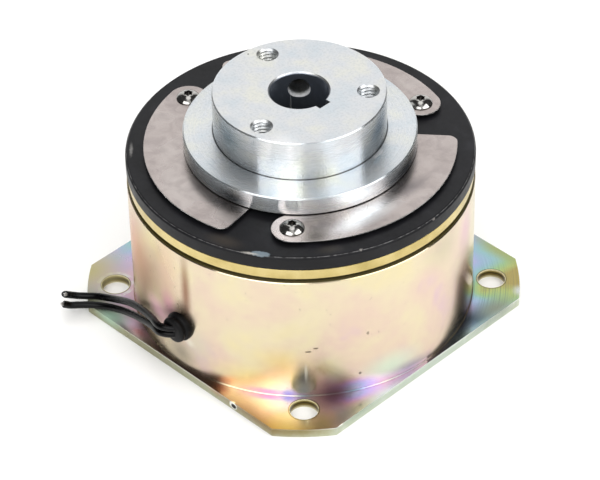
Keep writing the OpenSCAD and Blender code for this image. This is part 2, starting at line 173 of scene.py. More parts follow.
# Mark that is 1 at its centre and 0 at its spread (mm); a crisp one has a short edge
def softMark(tree, place, mark):
    turned = addNode(
        tree, "Mapping", {"Vector": place, "Location": point(*mark["at"]),
                          "Rotation": (0, 0, math.radians(mark.get("turn", 0))),
                          "Scale": [mm(s) for s in mark["spread"]]}, vector_type="TEXTURE",
    )
    ball = addNode(tree, "TexGradient", {"Vector": turned}, gradient_type="SPHERICAL", give=1)
    start, end = (0.25, 0.45) if mark.get("crisp") else (0, 1)
    return addNode(tree, "MapRange", {0: ball, 1: start, 2: end, 4: mark.get("weight", 1)},
                   interpolation_type="SMOOTHSTEP")


# Distance in mm from an upright line through a point
def distanceFrom(tree, place, centre=(0, 0, 0)):
    away = addNode(tree, "VectorMath", {0: place, 1: point(*centre)}, operation="SUBTRACT")
    away = addNode(tree, "VectorMath", {0: away, 1: (1000, 1000, 0)}, operation="MULTIPLY")
    return addNode(tree, "VectorMath", {0: away}, operation="LENGTH", give=1)


# Height over the floor and distance from the shaft's axis, in mm
def heightAndRadius(tree, place):
    inMm = addNode(tree, "VectorMath", {0: place, "Scale": 1000}, operation="SCALE")
    return addNode(tree, "SeparateXYZ", {0: inMm}, give=2), distanceFrom(tree, place)


# Lays tones over a colour, each through its own mask
def layTones(tree, under, *layers):
    for tone, mask in layers:
        over = hexColour(tone) if isinstance(tone, str) else tone
        under = addNode(tree, "Mix", {0: mask, 6: under, 7: over}, data_type="RGBA", give=2)
    return under


# Wear, stains and painted light and shade: lays each mark's own tone over a colour, with outlines ragged by
# some mm
def layMarks(tree, under, place, marks, ragged=0.5):
    grain = addNode(tree, "TexNoise", {"Vector": place, "Scale": 1 / mm(0.9), "Detail": 3}, give=1)
    grain = addNode(tree, "VectorMath", {0: grain, 1: (0.5, 0.5, 0.5)}, operation="SUBTRACT")
    pushed = addNode(tree, "VectorMath", {0: grain, 1: [mm(ragged)] * 3, 2: place}, operation="MULTIPLY_ADD")
    return layTones(tree, under, *((mark["tone"], softMark(tree, pushed, mark)) for mark in marks))


# Adds soft marks to a value, each with its own amount
def addMarks(tree, value, place, marks):
    for mark in marks:
        soft = softMark(tree, place, mark)
        value = addNode(tree, "Math", {0: soft, 1: mark["add"], 2: value}, operation="MULTIPLY_ADD")
    return value


# Camera, at the photograph's angle
print("camera")
cameraSettings = {
    "place": (0.54282, -0.53106, 0.65072),
    "turn": 45.69,
    "tilt": 50.352,
    "roll": -1.306,
    "lens": 177,
    "sensor": 36,
    "near": 0.05,
    "far": 20,
}
cameraData = bpy.data.cameras.new("camera")
cameraData.lens = cameraSettings["lens"]
cameraData.sensor_width = cameraSettings["sensor"]
cameraData.clip_start = cameraSettings["near"]
cameraData.clip_end = cameraSettings["far"]
camera = bpy.data.objects.new("camera", cameraData)
camera.matrix_world = (
    Matrix.Translation(cameraSettings["place"])
    @ Matrix.Rotation(math.radians(cameraSettings["turn"]), 4, "Z")
    @ Matrix.Rotation(math.radians(cameraSettings["tilt"]), 4, "X")
    @ Matrix.Rotation(math.radians(cameraSettings["roll"]), 4, "Z")
)
scene.collection.objects.link(camera)
scene.camera = camera

# Leads: black PVC, extruded, so a satin skin with a faint ripple
print("leads")
leadSettings = {
    "diameter": 2.4,
    "sleeveProud": 0.03,
    "sleeveBore": 1.7,
    "sleeveFeet": (-1.6, -1.8),
    "sleeveTop": 2.4,
    "sleeveReach": 0.1,
    "strands": 7,
    "strandDiameter": 0.42,
    "strandFoot": 0.4,
    "strandLean": (-4, 9),
    "strandReach": (0.55, 1),
}
leadRoutes = {
    "leadOne": [
        (1.9, -60.1, 21.6), (0.7, -61.3, 21.6), (-0.9, -62.3, 21.6), (-2.8, -62.7, 21.4),
        (-4.8, -62.3, 21), (-8, -60.9, 20), (-12, -59.4, 18.6), (-16.5, -57.9, 17),
        (-21, -56.6, 15.2), (-25.5, -55.5, 13.2), (-30, -54.6, 10.8), (-34.5, -54, 8.4),
        (-39, -54, 6.4), (-43, -54.9, 5.2), (-46.2, -56.9, 4.7), (-48.4, -58.8, 4.7),
        (-49.8, -60.5, 5.2), (-50.4, -62, 6),
    ],
    "leadTwo": [
        (1.9, -60.1, 19), (0.7, -61.3, 19), (-0.9, -62.3, 18.9), (-2.8, -62.7, 18.6),
        (-4.8, -62.3, 18.1), (-8, -61, 16.9), (-12, -59.7, 15.2), (-16.5, -58.4, 13.2),
        (-21, -57.2, 11.2), (-25.5, -56.2, 9.2), (-30, -55.6, 7.3), (-34.5, -55.7, 5.7),
        (-38.5, -56.8, 4.8), (-41.8, -58.9, 4.6), (-44.8, -61.8, 4.6), (-46.6, -64, 4.8),
        (-47.2, -66, 6.1),
    ],
}
wireSkin, tree, place = startFinish("extrudedPvcInsulation", {
    "Roughness": 0.34, "IOR": 1.5, "Specular IOR Level": 0.2,
})
grime = addNode(tree, "TexNoise", {"Vector": place, "Scale": 1 / mm(3), "Detail": 3})
tone = addNode(tree, "ValToRGB", {0: grime}, stops=[(0.3, "#010102"), (0.62, "#040405"), (0.8, "#0e0e10")])
satin = addNode(tree, "MapRange", {0: grime, 3: 0.2, 4: 0.38})
ripple = addNode(tree, "TexNoise", {"Vector": place, "Scale": 1 / mm(1.1), "Detail": 2})
bump = addNode(tree, "Bump", {"Height": ripple, "Strength": 0.12, "Distance": mm(0.06)})
feedShader(tree, {"Base Color": tone, "Roughness": satin, "Normal": bump})

# Tinned copper strands: soft grey metal, scuffed where they were cut
strandMetal = mottledFinish("tinnedCopper", {"Metallic": 1, "Roughness": 0.5}, 0.5, 2,
                            [(0.35, "#bdbab6"), (0.6, "#f2f1ee")])


def makeLead(name, node, route):
    curve = bpy.data.curves.new(name, "CURVE")
    curve.dimensions = "3D"
    curve.bevel_depth = mm(leadSettings["diameter"] / 2)
    curve.bevel_resolution = 5
    curve.resolution_u = 8
    curve.use_fill_caps = True
    spline = curve.splines.new("BEZIER")
    spline.bezier_points.add(len(route) - 1)
    for knot, place in zip(spline.bezier_points, route):
        knot.co = point(*place)
        knot.handle_left_type = knot.handle_right_type = "AUTO"
    curve.materials.append(wireSkin)
    lead = bpy.data.objects.new(name, curve)
    scene.collection.objects.link(lead)
    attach(lead, "field")
    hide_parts(node)
    return lead


# Matrix that puts a shape's foot at a point with its +Z along a direction
def standAt(place, along):
    return Matrix.Translation(place) @ along.to_track_quat("Z", "Y").to_matrix().to_4x4()


# Hollow mouth of the cut insulation, sliced at a slant
def makeSleeve(name, route, slant):
    outer = leadSettings["diameter"] / 2 + leadSettings["sleeveProud"]
    inner = leadSettings["sleeveBore"] / 2
    innerFoot, outerFoot = leadSettings["sleeveFeet"]
    top = leadSettings["sleeveTop"]
    shape = turnedShape([(inner, innerFoot), (outer, outerFoot), (outer, top), (inner, top)], steps=24)
    cut = point(0, 0, leadSettings["sleeveReach"])
    bmesh.ops.bisect_plane(
        shape, geom=shape.verts[:] + shape.edges[:] + shape.faces[:], dist=mm(sameCorner),
        plane_co=cut, plane_no=Vector(slant).normalized(), clear_outer=True,
    )
    bmesh.ops.holes_fill(shape, edges=[e for e in shape.edges if e.is_boundary], sides=0)
    end = point(*route[-1])
    bmesh.ops.transform(shape, matrix=standAt(end, end - point(*route[-2])), verts=shape.verts)
    return addPiece(name, shape, wireSkin, "field")


# Cut strands inside the mouth, each a little apart from the next: one in the middle, the others round it
def makeStrands(name, route, seed, reach):
    dice = random.Random(seed)
    shape = bmesh.new()
    thick = leadSettings["strandDiameter"]
    foot = leadSettings["strandFoot"]
    for i in range(leadSettings["strands"]):
        aside = 0 if i == 0 else thick
        turn = Matrix.Rotation(math.tau * i / (leadSettings["strands"] - 1), 4, "Z")
        lean = Matrix.Rotation(math.radians(dice.uniform(*leadSettings["strandLean"])), 4, "Y")
        tall = reach * dice.uniform(*leadSettings["strandReach"])
        bmesh.ops.create_cone(
            shape, cap_ends=True, segments=8, radius1=mm(thick / 2), radius2=mm(thick / 2),
            depth=mm(tall + foot),
            matrix=turn @ Matrix.Translation(point(aside, 0, (tall - foot) / 2)) @ lean,
        )
    end = point(*route[-1])
    bmesh.ops.transform(shape, matrix=standAt(end, end - point(*route[-2])), verts=shape.verts)
    return addPiece(name, shape, strandMetal, "field", ["lead_strands"])


for name, node, slant, seed, reach, length in [
    ("leadOne", "lead_wire_1", (0.9, 0.5, 1), 3, 1.1, 61.2),
    ("leadTwo", "lead_wire_2", (-0.5, -0.3, 1), 8, 1.4, 58.5),
]:
    route = leadRoutes[name]
    lead = makeLead(name, node, route)
    sleeve = makeSleeve(name + "Sleeve", route, slant)
    strands = makeStrands(name + "Strands", route, seed, reach)

# Bushing: black moulded rubber, two collars, with a dull bloom in its grooves
print("bushing")
bushingSettings = {"azimuth": -89, "radius": 57.15, "height": 20.3, "collar": 5.1, "neck": 4.3, "reach": 3.9}
rubber, tree, place = startFinish("mouldedRubber", {"Roughness": 0.5, "IOR": 1.5, "Specular IOR Level": 0.2})
bloom = addNode(tree, "TexNoise", {"Vector": place, "Scale": 1 / mm(2), "Detail": 4})
tone = addNode(tree, "ValToRGB", {0: bloom}, stops=[(0.35, "#010102"), (0.65, "#050506"), (0.82, "#121212")])
dull = addNode(tree, "MapRange", {0: bloom, 3: 0.38, 4: 0.62})
bump = addNode(tree, "Bump", {"Height": bloom, "Strength": 0.15, "Distance": mm(0.1)})
feedShader(tree, {"Base Color": tone, "Roughness": dull, "Normal": bump})

collar, neck, reach = (bushingSettings[k] for k in ("collar", "neck", "reach"))
# Outline from the wall outwards: radius and reach, in mm
shape = turnedShape([
    (0.01, -1), (collar, -1), (collar, 0.9), (collar - 0.35, 1.45), (neck, 1.7), (neck, 2.1),
    (collar - 0.75, 2.3), (collar - 0.5, 2.75), (collar - 0.7, 3.4), (neck - 0.9, reach), (0.01, reach),
], steps=48)
out = (
    Matrix.Rotation(math.radians(bushingSettings["azimuth"]), 4, "Z")
    @ Matrix.Translation(point(bushingSettings["radius"], 0, bushingSettings["height"]))
    @ Matrix.Rotation(math.radians(90), 4, "Y")
)
bmesh.ops.transform(shape, matrix=out, verts=shape.verts)
addPiece("bushingCollars", shape, rubber, "field", ["lead_bushing"], 50)

# Yellow chromate over zinc: bright metal under a film whose thickness sets its hue
print("plated field body")
filmStops = [
    (0, "#cbb26c"), (0.1, "#e2d6a3"), (0.2, "#dfd2b3"), (0.3, "#dcc5b4"), (0.39, "#d5b6c4"),
    (0.49, "#bfb0d8"), (0.58, "#a6b9d6"), (0.68, "#9cc0c4"), (0.8, "#a3c392"), (0.9, "#b4bf7b"),
    (1, "#b0a165"),
]

wallSettings = {
    "cloud": 20,
    "fine": 3,
    "specks": 0.9,
    "grooveFoot": 50.95,
    "rimRadius": 56.92,
    "film": [
        {"at": (-4, -57, 26), "spread": (6, 6, 9), "add": 0.12},
        {"at": (52, -24, 5), "spread": (14, 14, 5), "add": 0.16},
        {"at": (26, -51, 9), "spread": (20, 14, 13), "add": -0.06},
        {"at": (56, 8, 26), "spread": (14, 18, 26), "add": 0.12},
        {"at": (50, -29, 4), "spread": (13, 13, 6), "add": 0.22},
        {"at": (46, -34, 14), "spread": (8, 8, 7), "add": -0.12},
        {"at": (-30, -48, 30), "spread": (9, 9, 18), "add": 0.1},
        {"at": (38, 42, 28), "spread": (9, 9, 20), "add": 0.12},
        {"at": (52, -20, 32), "spread": (18, 30, 26), "add": 0.08},
    ],
    # Stains, with painted highlights, reflections and shade among them
    "stainsAndPaintedLight": [
        {"at": (4.2, -57, 37), "spread": (3.2, 6, 22), "tone": "#8a5f45", "weight": 0.85},
        {"at": (2.2, -57, 27), "spread": (5, 6, 7), "tone": "#5d4330", "weight": 0.7},
        # Painted highlight: a white glint on the wall below the bushing
        {"at": (5, -57, 15), "spread": (3.2, 5, 2.4), "tone": "#f4ece0", "weight": 0.9},
        # Painted reflection of the front bolt hole: a grey-blue smear up the wall, with a thin painted
        # highlight in it
        {"at": (40.3, -40.5, 3), "spread": (7, 7, 12), "tone": "#6f787f", "weight": 0.95},
        {"at": (40.3, -40.5, 11), "spread": (3.4, 3.4, 9.5), "tone": "#858789", "weight": 0.9},
        {"at": (41, -39.8, 13), "spread": (0.8, 0.8, 5), "tone": "#f0f2f4", "weight": 1},
        # Painted shade: the left side of the wall darker and browner
        {"at": (-43, -37, 18), "spread": (37, 33, 46), "tone": "#ae7046", "weight": 0.55},
        {"at": (-4.6, -57, 26.5), "spread": (5, 5, 8), "tone": "#e6a4c4", "weight": 0.9},
        {"at": (27, -50.5, 9), "spread": (20, 16, 9), "tone": "#eedf9f", "weight": 0.85},
        {"at": (55, -15, 9), "spread": (9, 17, 9), "tone": "#cfe0cc", "weight": 0.85},
        # Painted reflection: a dark patch low on the front of the wall
        {"at": (46.5, -33, 3.5), "spread": (9, 12, 9), "tone": "#6f5a5c", "weight": 0.95},
        {"at": (52.5, 24, 24), "spread": (7, 12, 24), "tone": "#a37a6c", "weight": 0.6},
        {"at": (52.4, -22.9, 26.5), "spread": (0.7, 0.7, 1.1), "tone": "#8d8070", "crisp": 1, "weight": 0.8},
        {"at": (51.2, -25.4, 10.2), "spread": (0.8, 0.8, 0.8), "tone": "#6a6058", "crisp": 1, "weight": 0.8},
        {"at": (41.6, -39.2, 22.3), "spread": (1.5, 0.6, 0.5), "turn": 47, "tone": "#5f4f42", "crisp": 1,
         "weight": 0.8},
        {"at": (43.2, -37.4, 23.6), "spread": (1.3, 0.6, 0.5), "turn": 49, "tone": "#5f4f42", "crisp": 1,
         "weight": 0.8},
        {"at": (1, -57, 9), "spread": (9, 6, 8), "tone": "#8d8677", "weight": 0.7},
        {"at": (33.5, -46.3, 18), "spread": (10, 10, 8), "tone": "#e3d097", "weight": 0.8},
        {"at": (8, -56.5, 16), "spread": (9, 6, 11), "tone": "#cfccb2", "weight": 0.6},
        {"at": (56.5, -9, 4.4), "spread": (5, 16, 5), "tone": "#8c87a0", "weight": 0.85},
        {"at": (31, -48, 4.4), "spread": (9, 9, 2.2), "tone": "#d48cac", "weight": 0.9},
        {"at": (36.6, -43.9, 4.2), "spread": (3.6, 3.6, 2.8), "tone": "#9a88b8", "weight": 0.8},
        {"at": (15.5, -55, 4.6), "spread": (7, 4, 4), "tone": "#7a4a44", "weight": 0.7},
        {"at": (-25, -51, 34), "spread": (26, 22, 24), "tone": "#f0b893", "weight": 0.6},
        {"at": (-5, -57, 38), "spread": (10, 6, 28), "tone": "#dcb9a2", "weight": 0.7},
        # Painted light: a pale pink patch over the leads' dark reflection
        {"at": (-10, -56.2, 19.5), "spread": (11, 6, 7), "tone": "#ffcdd6", "weight": 0.95},
        {"at": (52, 23, 42), "spread": (7, 9, 14), "tone": "#d8a5bf", "weight": 0.55},
        {"at": (53, 21, 20), "spread": (6, 9, 14), "tone": "#8a4f40", "weight": 0.5},
        {"at": (56.6, 8, 47), "spread": (5, 14, 12), "tone": "#bfb39d", "weight": 0.6},
    ],
    "handled": [{"at": (-18, -54, 26), "spread": (27, 18, 34), "add": 0.32}],
    "chalky": [{"at": (-10, -56.2, 19.5), "spread": (12, 6, 8), "add": -0.95}],
}
# Tube: turned before it was plated, so reflections are drawn out along its height
wallPlating, tree, place = startFinish("yellowChromateTube", {
    "Metallic": 1, "Roughness": 0.21, "Anisotropic": 0.9, "Anisotropic Rotation": 0.25,
})
along = addNode(tree, "Tangent", direction_type="RADIAL", axis="Z")
height, radius = heightAndRadius(tree, place)
cloud = addNode(tree, "TexNoise", {
    "Vector": place, "Scale": 1 / mm(wallSettings["cloud"]), "Detail": 3, "Distortion": 0.4,
})
fine = addNode(tree, "TexNoise", {"Vector": place, "Scale": 1 / mm(wallSettings["fine"]), "Detail": 3})
film = addNode(tree, "MapRange", {0: cloud, 1: 0.3, 2: 0.7, 3: 0.1, 4: 0.3})
film = addNode(tree, "Math", {0: fine, 1: 0.06, 2: film}, operation="MULTIPLY_ADD")
film = addMarks(tree, film, place, wallSettings["film"])
tone = addNode(tree, "ValToRGB", {0: film}, stops=filmStops)
tone = layMarks(tree, tone, place, wallSettings["stainsAndPaintedLight"])
specks = addNode(tree, "TexNoise", {"Vector": place, "Scale": 1 / mm(wallSettings["specks"]), "Detail": 1})
specks = addNode(tree, "MapRange", {0: specks, 1: 0.74, 2: 0.8, 4: 0.6})
overFoot = addNode(tree, "Math", {0: height, 1: wallSettings["grooveFoot"]}, operation="GREATER_THAN")
behindRim = addNode(tree, "Math", {0: radius, 1: wallSettings["rimRadius"]}, operation="LESS_THAN")
inGroove = addNode(tree, "Math", {0: overFoot, 1: behindRim}, operation="MULTIPLY")
# Painted shade: the groove under the pole ring is dark olive
tone = layTones(tree, tone, ("#6f6350", specks), ("#4f4724", inGroove))
# The groove and the patch behind the leads are chalky, so they stay light where no lamp is mirrored
bare = addMarks(tree, 1, place, wallSettings["chalky"])
bare = addNode(tree, "Math", {0: inGroove, 1: -0.6, 2: bare}, operation="MULTIPLY_ADD")
dull = addNode(tree, "MapRange", {0: fine, 1: 0.3, 2: 0.7, 3: 0.19, 4: 0.23})
dull = addNode(tree, "Math", {0: inGroove, 1: 0.4, 2: dull}, operation="MULTIPLY_ADD")
# Fingers and the leads have dulled the wall on their side
dull = addMarks(tree, dull, place, wallSettings["handled"])
feedShader(tree, {"Base Color": tone, "Metallic": bare, "Roughness": dull, "Tangent": along})
dress(wallPlating, "field_housing")

plateSettings = {
    "thick": 3.17,
    "edge": 0.35,
    "bevel": 2.98,
    "bevelHalf": 0.18,
    "holeCentre": (44.9, 44.9, 0),
    "holeEdge": 5.05,
    "holeWall": 4.85,
    "washerAt": (-44.9, -44.9, 0),
    "washerRing": 5.9,
    "washerHalf": 0.7,
    "marksPerMm": 1.6,
    "turningMarks": {"at": (48, 40, 3), "spread": (22, 22, 6), "weight": 0.55},
    "film": [
        {"at": (50, -52, 3), "spread": (22, 17, 9), "add": -0.34},
        {"at": (20, -57, 3), "spread": (20, 6, 9), "add": -0.12},
        {"at": (56, -22, 3), "spread": (10, 12, 9), "add": 0.06},
        {"at": (37.5, -46.5, 3), "spread": (9, 9, 9), "add": 0.26},
        {"at": (58, 20, 3), "spread": (10, 26, 9), "add": 0.26},
        {"at": (46, 50, 3), "spread": (32, 30, 9), "add": 0.56},
        {"at": (54, 57, 3), "spread": (12, 12, 9), "add": 0.2},
        {"at": (-54, -34, 3), "spread": (10, 10, 9), "add": 0.1},
        {"at": (-57, -25, 3), "spread": (9, 9, 9), "add": 0.26},
        {"at": (36, 47, 3), "spread": (11, 11, 9), "add": -0.24},
        {"at": (42, 54, 3), "spread": (10, 10, 9), "add": -0.2},
        {"at": (46.5, 38, 3), "spread": (6, 6, 9), "add": 0.16},
    ],
    "handled": {"at": (-44, -50, 3), "spread": (36, 28, 9)},
    "shaded": {"at": (-34, -56.6, 3), "spread": (13, 9, 9)},
    "marksAndPaintedLight": [
        {"at": (34, -51, 3.2), "spread": (11, 6, 4), "tone": "#eeddd2", "weight": 0.7, "turn": 30},
        {"at": (38, -60, 3.2), "spread": (38, 11.5, 6), "tone": "#84683a", "weight": 0.95},
        {"at": (54, -55, 3.2), "spread": (20, 19, 6), "tone": "#87763f", "weight": 0.95},
        {"at": (57.5, -33, 3.2), "spread": (7, 15, 4), "tone": "#8d9a7e", "weight": 0.9},
        {"at": (-57, -47, 3.2), "spread": (18, 22, 5), "tone": "#bab283", "weight": 1},
        {"at": (-44, -57, 3.2), "spread": (18, 12, 5), "tone": "#9ba07e", "weight": 0.95},
        {"at": (-30, -51, 3.2), "spread": (12, 10, 5), "tone": "#8d7480", "weight": 0.5},
        {"at": (53, 24, 3.2), "spread": (9, 18, 5), "tone": "#3d4a55", "weight": 0.95, "turn": -24},
        {"at": (56.5, 35, 3.2), "spread": (8, 11, 5), "tone": "#8c9080", "weight": 0.85, "turn": -20},
        {"at": (36, 58, 3.2), "spread": (22, 5, 5), "tone": "#a5a468", "weight": 0.7},
        {"at": (58.5, 0, 1.6), "spread": (3, 70, 4), "tone": "#bccbc4", "weight": 0.7},
        {"at": (-25, -58.6, 1.2), "spread": (75, 4, 6), "tone": "#8f8b6b", "weight": 0.85},
        {"at": (26, -58.4, 1.9), "spread": (2.6, 1.6, 2.2), "tone": "#f2f3ee", "crisp": 1},
        {"at": (26.3, -58.8, 1.7), "spread": (1.9, 1.3, 1.6), "tone": "#262420", "crisp": 1},
        # Painted highlight: a white glint on the plate's right front corner
        {"at": (59.4, -42.6, 3.1), "spread": (1.4, 3.2, 1), "tone": "#f6f6f2", "crisp": 1, "turn": 30},
        {"at": (50.8, -15.7, 3.2), "spread": (5, 0.5, 1), "tone": "#6f6a68", "crisp": 1, "turn": 66,
         "weight": 0.8},
        {"at": (56, 47, 3.2), "spread": (3.4, 4, 1.4), "tone": "#d5d8da", "turn": 40, "weight": 0.9},
        {"at": (18, -56.6, 3.2), "spread": (6, 3.5, 3), "tone": "#c4744f", "weight": 0.6},
        # Teal film under the leads, made light to paint out their shadow and reflection on the plate
        {"at": (-34, -56.6, 3.2), "spread": (10, 6, 5), "tone": "#a9cdb4", "weight": 0.9},
        {"at": (-21.5, -52.6, 3.2), "spread": (6, 4.5, 4), "tone": "#33262e", "weight": 0.7},
        {"at": (-21, -56, 3.2), "spread": (6, 2.6, 3), "tone": "#9d4f45", "weight": 0.6},
    ],
}
# Plate: smooth rolled steel under the same film, so its face mirrors broad patches of light
platePlating, tree, place = startFinish("yellowChromatePlate", {"Metallic": 1, "Roughness": 0.2})
height, radius = heightAndRadius(tree, place)
cloud = addNode(tree, "TexNoise", {"Vector": place, "Scale": 1 / mm(14), "Detail": 3, "Distortion": 0.6})
fine = addNode(tree, "TexNoise", {"Vector": place, "Scale": 1 / mm(2.5), "Detail": 3})
film = addNode(tree, "MapRange", {0: radius, 1: 57, 2: 70, 3: 0.28, 4: 0.4})
film = addNode(tree, "Math", {0: cloud, 1: 0.14, 2: film}, operation="MULTIPLY_ADD")
film = addNode(tree, "Math", {0: fine, 1: 0.05, 2: film}, operation="MULTIPLY_ADD")
film = addMarks(tree, film, place, plateSettings["film"])
tone = addNode(tree, "ValToRGB", {0: film}, stops=filmStops)
onSide = addNode(tree, "MapRange", {0: height, 1: plateSettings["thick"], 2: plateSettings["thick"] - 0.07})
sideTone = addNode(tree, "ValToRGB", {0: fine}, stops=[(0.3, "#c4c8ac"), (0.5, "#cdd1ba"), (0.7, "#d8dbca")])
atBevel = addNode(tree, "Math", {0: height, 1: plateSettings["bevel"], 2: plateSettings["bevelHalf"]},
                  operation="COMPARE")
# Turning marks that show best by the right-hand hole, drawn coarser than real ones so that they show
arcs = addNode(tree, "CombineXYZ", {0: radius})
arcs = addNode(tree, "TexNoise", {"Vector": arcs, "Scale": plateSettings["marksPerMm"], "Detail": 4,
                                  "Roughness": 0.7})
arcs = addNode(tree, "MapRange", {0: arcs, 1: 0.48, 2: 0.62})
turned = softMark(tree, place, plateSettings["turningMarks"])
arcs = addNode(tree, "Math", {0: arcs, 1: turned}, operation="MULTIPLY")
# One quarter stands for all four: distance from the nearest bolt hole
quarter = addNode(tree, "VectorMath", {0: place}, operation="ABSOLUTE")
fromHole = distanceFrom(tree, quarter, plateSettings["holeCentre"])
edgeAt, wallAt = plateSettings["holeEdge"], plateSettings["holeWall"]
atRim = addNode(tree, "MapRange", {0: fromHole, 1: edgeAt + 0.2, 2: edgeAt})
inHole = addNode(tree, "MapRange", {0: fromHole, 1: wallAt + 0.1, 2: wallAt})
# Painted shade and highlights inside the bolt holes, banded by depth
depth = addNode(tree, "Math", {0: fine, 1: 0.5, 2: height}, operation="MULTIPLY_ADD")
depth = addNode(tree, "MapRange", {0: depth, 1: 0.25, 2: 3.45})
boreLightAndShade = addNode(tree, "ValToRGB", {0: depth}, stops=[
    (0, "#ddd7b8"), (0.3, "#786839"), (0.6, "#2c2618"), (0.8, "#8d7d45"), (0.93, "#efe6bb"),
])
# Ring that a washer has rubbed round one hole
fromWasher = distanceFrom(tree, place, plateSettings["washerAt"])
rubbed = addNode(tree, "Math", {
    0: fromWasher, 1: plateSettings["washerRing"], 2: plateSettings["washerHalf"],
}, operation="COMPARE")
scrape = addNode(tree, "MapRange", {0: fine, 1: 0.42, 2: 0.6, 4: 0.8})
rubbed = addNode(tree, "Math", {0: rubbed, 1: scrape}, operation="MULTIPLY")
# Painted highlight: the plate's top bevel is near white
tone = layTones(
    tree, tone, (sideTone, onSide), ("#fbfbf8", atBevel), ("#4c6570", arcs), ("#4d4630", atRim),
    (boreLightAndShade, inHole), ("#e3e3df", rubbed),
)
tone = layMarks(tree, tone, place, plateSettings["marksAndPaintedLight"], 0.7)
dull = addNode(tree, "MapRange", {0: fine, 1: 0.3, 2: 0.7, 3: 0.11, 4: 0.17})
# The corner under the leads has gone chalky, and the rubbed bevel scatters light from all sides
chalky = softMark(tree, place, plateSettings["handled"])
shaded = softMark(tree, place, plateSettings["shaded"])
bare = addNode(tree, "Math", {0: shaded, 1: -0.4, 2: 1}, operation="MULTIPLY_ADD")
for mask, metalLess in ((chalky, -0.5), (atBevel, -0.7)):
    dull = addNode(tree, "Math", {0: mask, 1: 0.45, 2: dull}, operation="MULTIPLY_ADD")
    bare = addNode(tree, "Math", {0: mask, 1: metalLess, 2: bare}, operation="MULTIPLY_ADD")
bump = addNode(tree, "Bump", {"Height": fine, "Strength": 0.06, "Distance": mm(0.1)})
feedShader(tree, {"Base Color": tone, "Metallic": bare, "Roughness": dull, "Normal": bump})
addPiece("flangePlate", roundedCopy("mounting_plate", plateSettings["edge"]), platePlating, "field",
         ["mounting_plate"])

# Pole ring: a thick gold film on turned steel, evenly satin
ringSettings = {"edge": 0.25, "cloud": 9}
ringPlating = mottledFinish("goldChromateRing", {"Metallic": 1, "Roughness": 0.24}, ringSettings["cloud"], 4,
                            [(0.3, "#b7a467"), (0.5, "#cbb87c"), (0.72, "#d8c78f")])
addPiece("outerPole", roundedCopy("outer_pole_ring", ringSettings["edge"]), ringPlating, "field",
         ["outer_pole_ring"])

# Thin bright fillet where the tube meets the plate
footSettings = {"reach": 0.32, "inner": 57.05, "tube": 57.15}
inner, tube, reach = (footSettings[k] for k in ("inner", "tube", "reach"))
low, high = plateSettings["thick"] - 0.02, plateSettings["thick"] + 0.08 + reach
shape = turnedShape([(inner, low), (tube + reach, low), (tube - 0.02, high), (inner, high)], steps=240)
addPiece("tubeFoot", shape, wallPlating, "field")

# Core and coil, seen through the gap and from below
print("core and coil")
coreFinishes = {
    # Turned steel: a soft grey shine, broken by lathe marks
    "turnedSteelCore": {
        "values": {"Metallic": 1, "Roughness": 0.35}, "grain": 1.5, "detail": 4,
        "tones": [(0.3, "#8f8a7c"), (0.7, "#b9b39f")], "nodes": ["inner_pole"],
    },
    # Black oxide: dark steel that still shows a dull metal sheen
    "blackOxideScrew": {
        "values": {"Metallic": 0.8, "Roughness": 0.38}, "grain": 0.8, "detail": 4,
        "tones": [(0.35, "#1b1b1d"), (0.7, "#3b3a3a")], "nodes": ["core_screws", "set_screw"],
    },
    # Moulded friction lining: dead matt brown with pale grit
    "frictionLining": {
        "values": {"Roughness": 0.85}, "grain": 0.7, "detail": 5,
        "tones": [(0.3, "#2b2119"), (0.55, "#4a3a2b"), (0.75, "#8a7350")], "nodes": ["friction_ring"],
    },
    # Poured epoxy: glossy and nearly black
    "pottingResin": {
        "values": {"Roughness": 0.3}, "grain": 4, "detail": 3,
        "tones": [(0.3, "#151b17"), (0.7, "#26302a")], "nodes": ["coil_potting"],
    },
    # Moulded nylon: ivory with a waxy sheen
    "nylonBobbin": {
        "values": {"Roughness": 0.45}, "grain": 5, "detail": 3,
        "tones": [(0.3, "#c9c2ac"), (0.7, "#ddd6c2")], "nodes": ["coil_bobbin"],
    },
    # Polyester film tape: amber and glossy
    "polyesterTape": {
        "values": {"Roughness": 0.3}, "grain": 6, "detail": 3,
        "tones": [(0.3, "#b99426"), (0.7, "#d8b548")], "nodes": ["coil_tape"],
    },
    # Enamelled copper wire: warm red-brown metal
    "enamelledCopper": {
        "values": {"Metallic": 1, "Roughness": 0.3}, "grain": 0.8, "detail": 3,
        "tones": [(0.3, "#7c3a1c"), (0.7, "#b8642f")], "nodes": ["coil_winding"],
    },
}
for name, look in coreFinishes.items():
    finish = mottledFinish(name, look["values"], look["grain"], look["detail"], look["tones"])
    dress(finish, *look["nodes"])
dress(strandMetal, "lead_splices")

# Armature disc: black oxide on ground steel, rubbed bright along its edge
print("armature")
discSettings = {
    "edge": 0.25,
    "rim": 56.75,
    "rimHalf": 0.16,
    "wornFrom": 61.1,
    "marksAndPaintedLight": [
        {"at": (29.7, -47.7, 61.4), "spread": (4.6, 2, 0.9), "tone": "#69757d", "crisp": 1, "turn": 32},
        {"at": (27, -49.6, 61.3), "spread": (4, 0.6, 0.6), "tone": "#b9b4ab", "turn": 30, "weight": 0.8},
        {"at": (51.1, -24.6, 61.4), "spread": (1, 1, 0.8), "tone": "#74706c", "crisp": 1},
        {"at": (57.2, 2.5, 61.2), "spread": (0.9, 1.2, 0.8), "tone": "#6d6966", "crisp": 1},
        {"at": (-38.3, -39.7, 61.4), "spread": (5, 0.8, 0.6), "tone": "#7c7a78", "turn": -44, "weight": 0.8},
        # Painted sheen: two brownish patches on the disc's face
        {"at": (17, -51, 61.4), "spread": (9, 4, 1.5), "tone": "#3a332c", "turn": 18, "weight": 0.6},
        {"at": (44, -31, 61.4), "spread": (6, 3, 1.5), "tone": "#39352f", "turn": 55, "weight": 0.5},
    ],
}
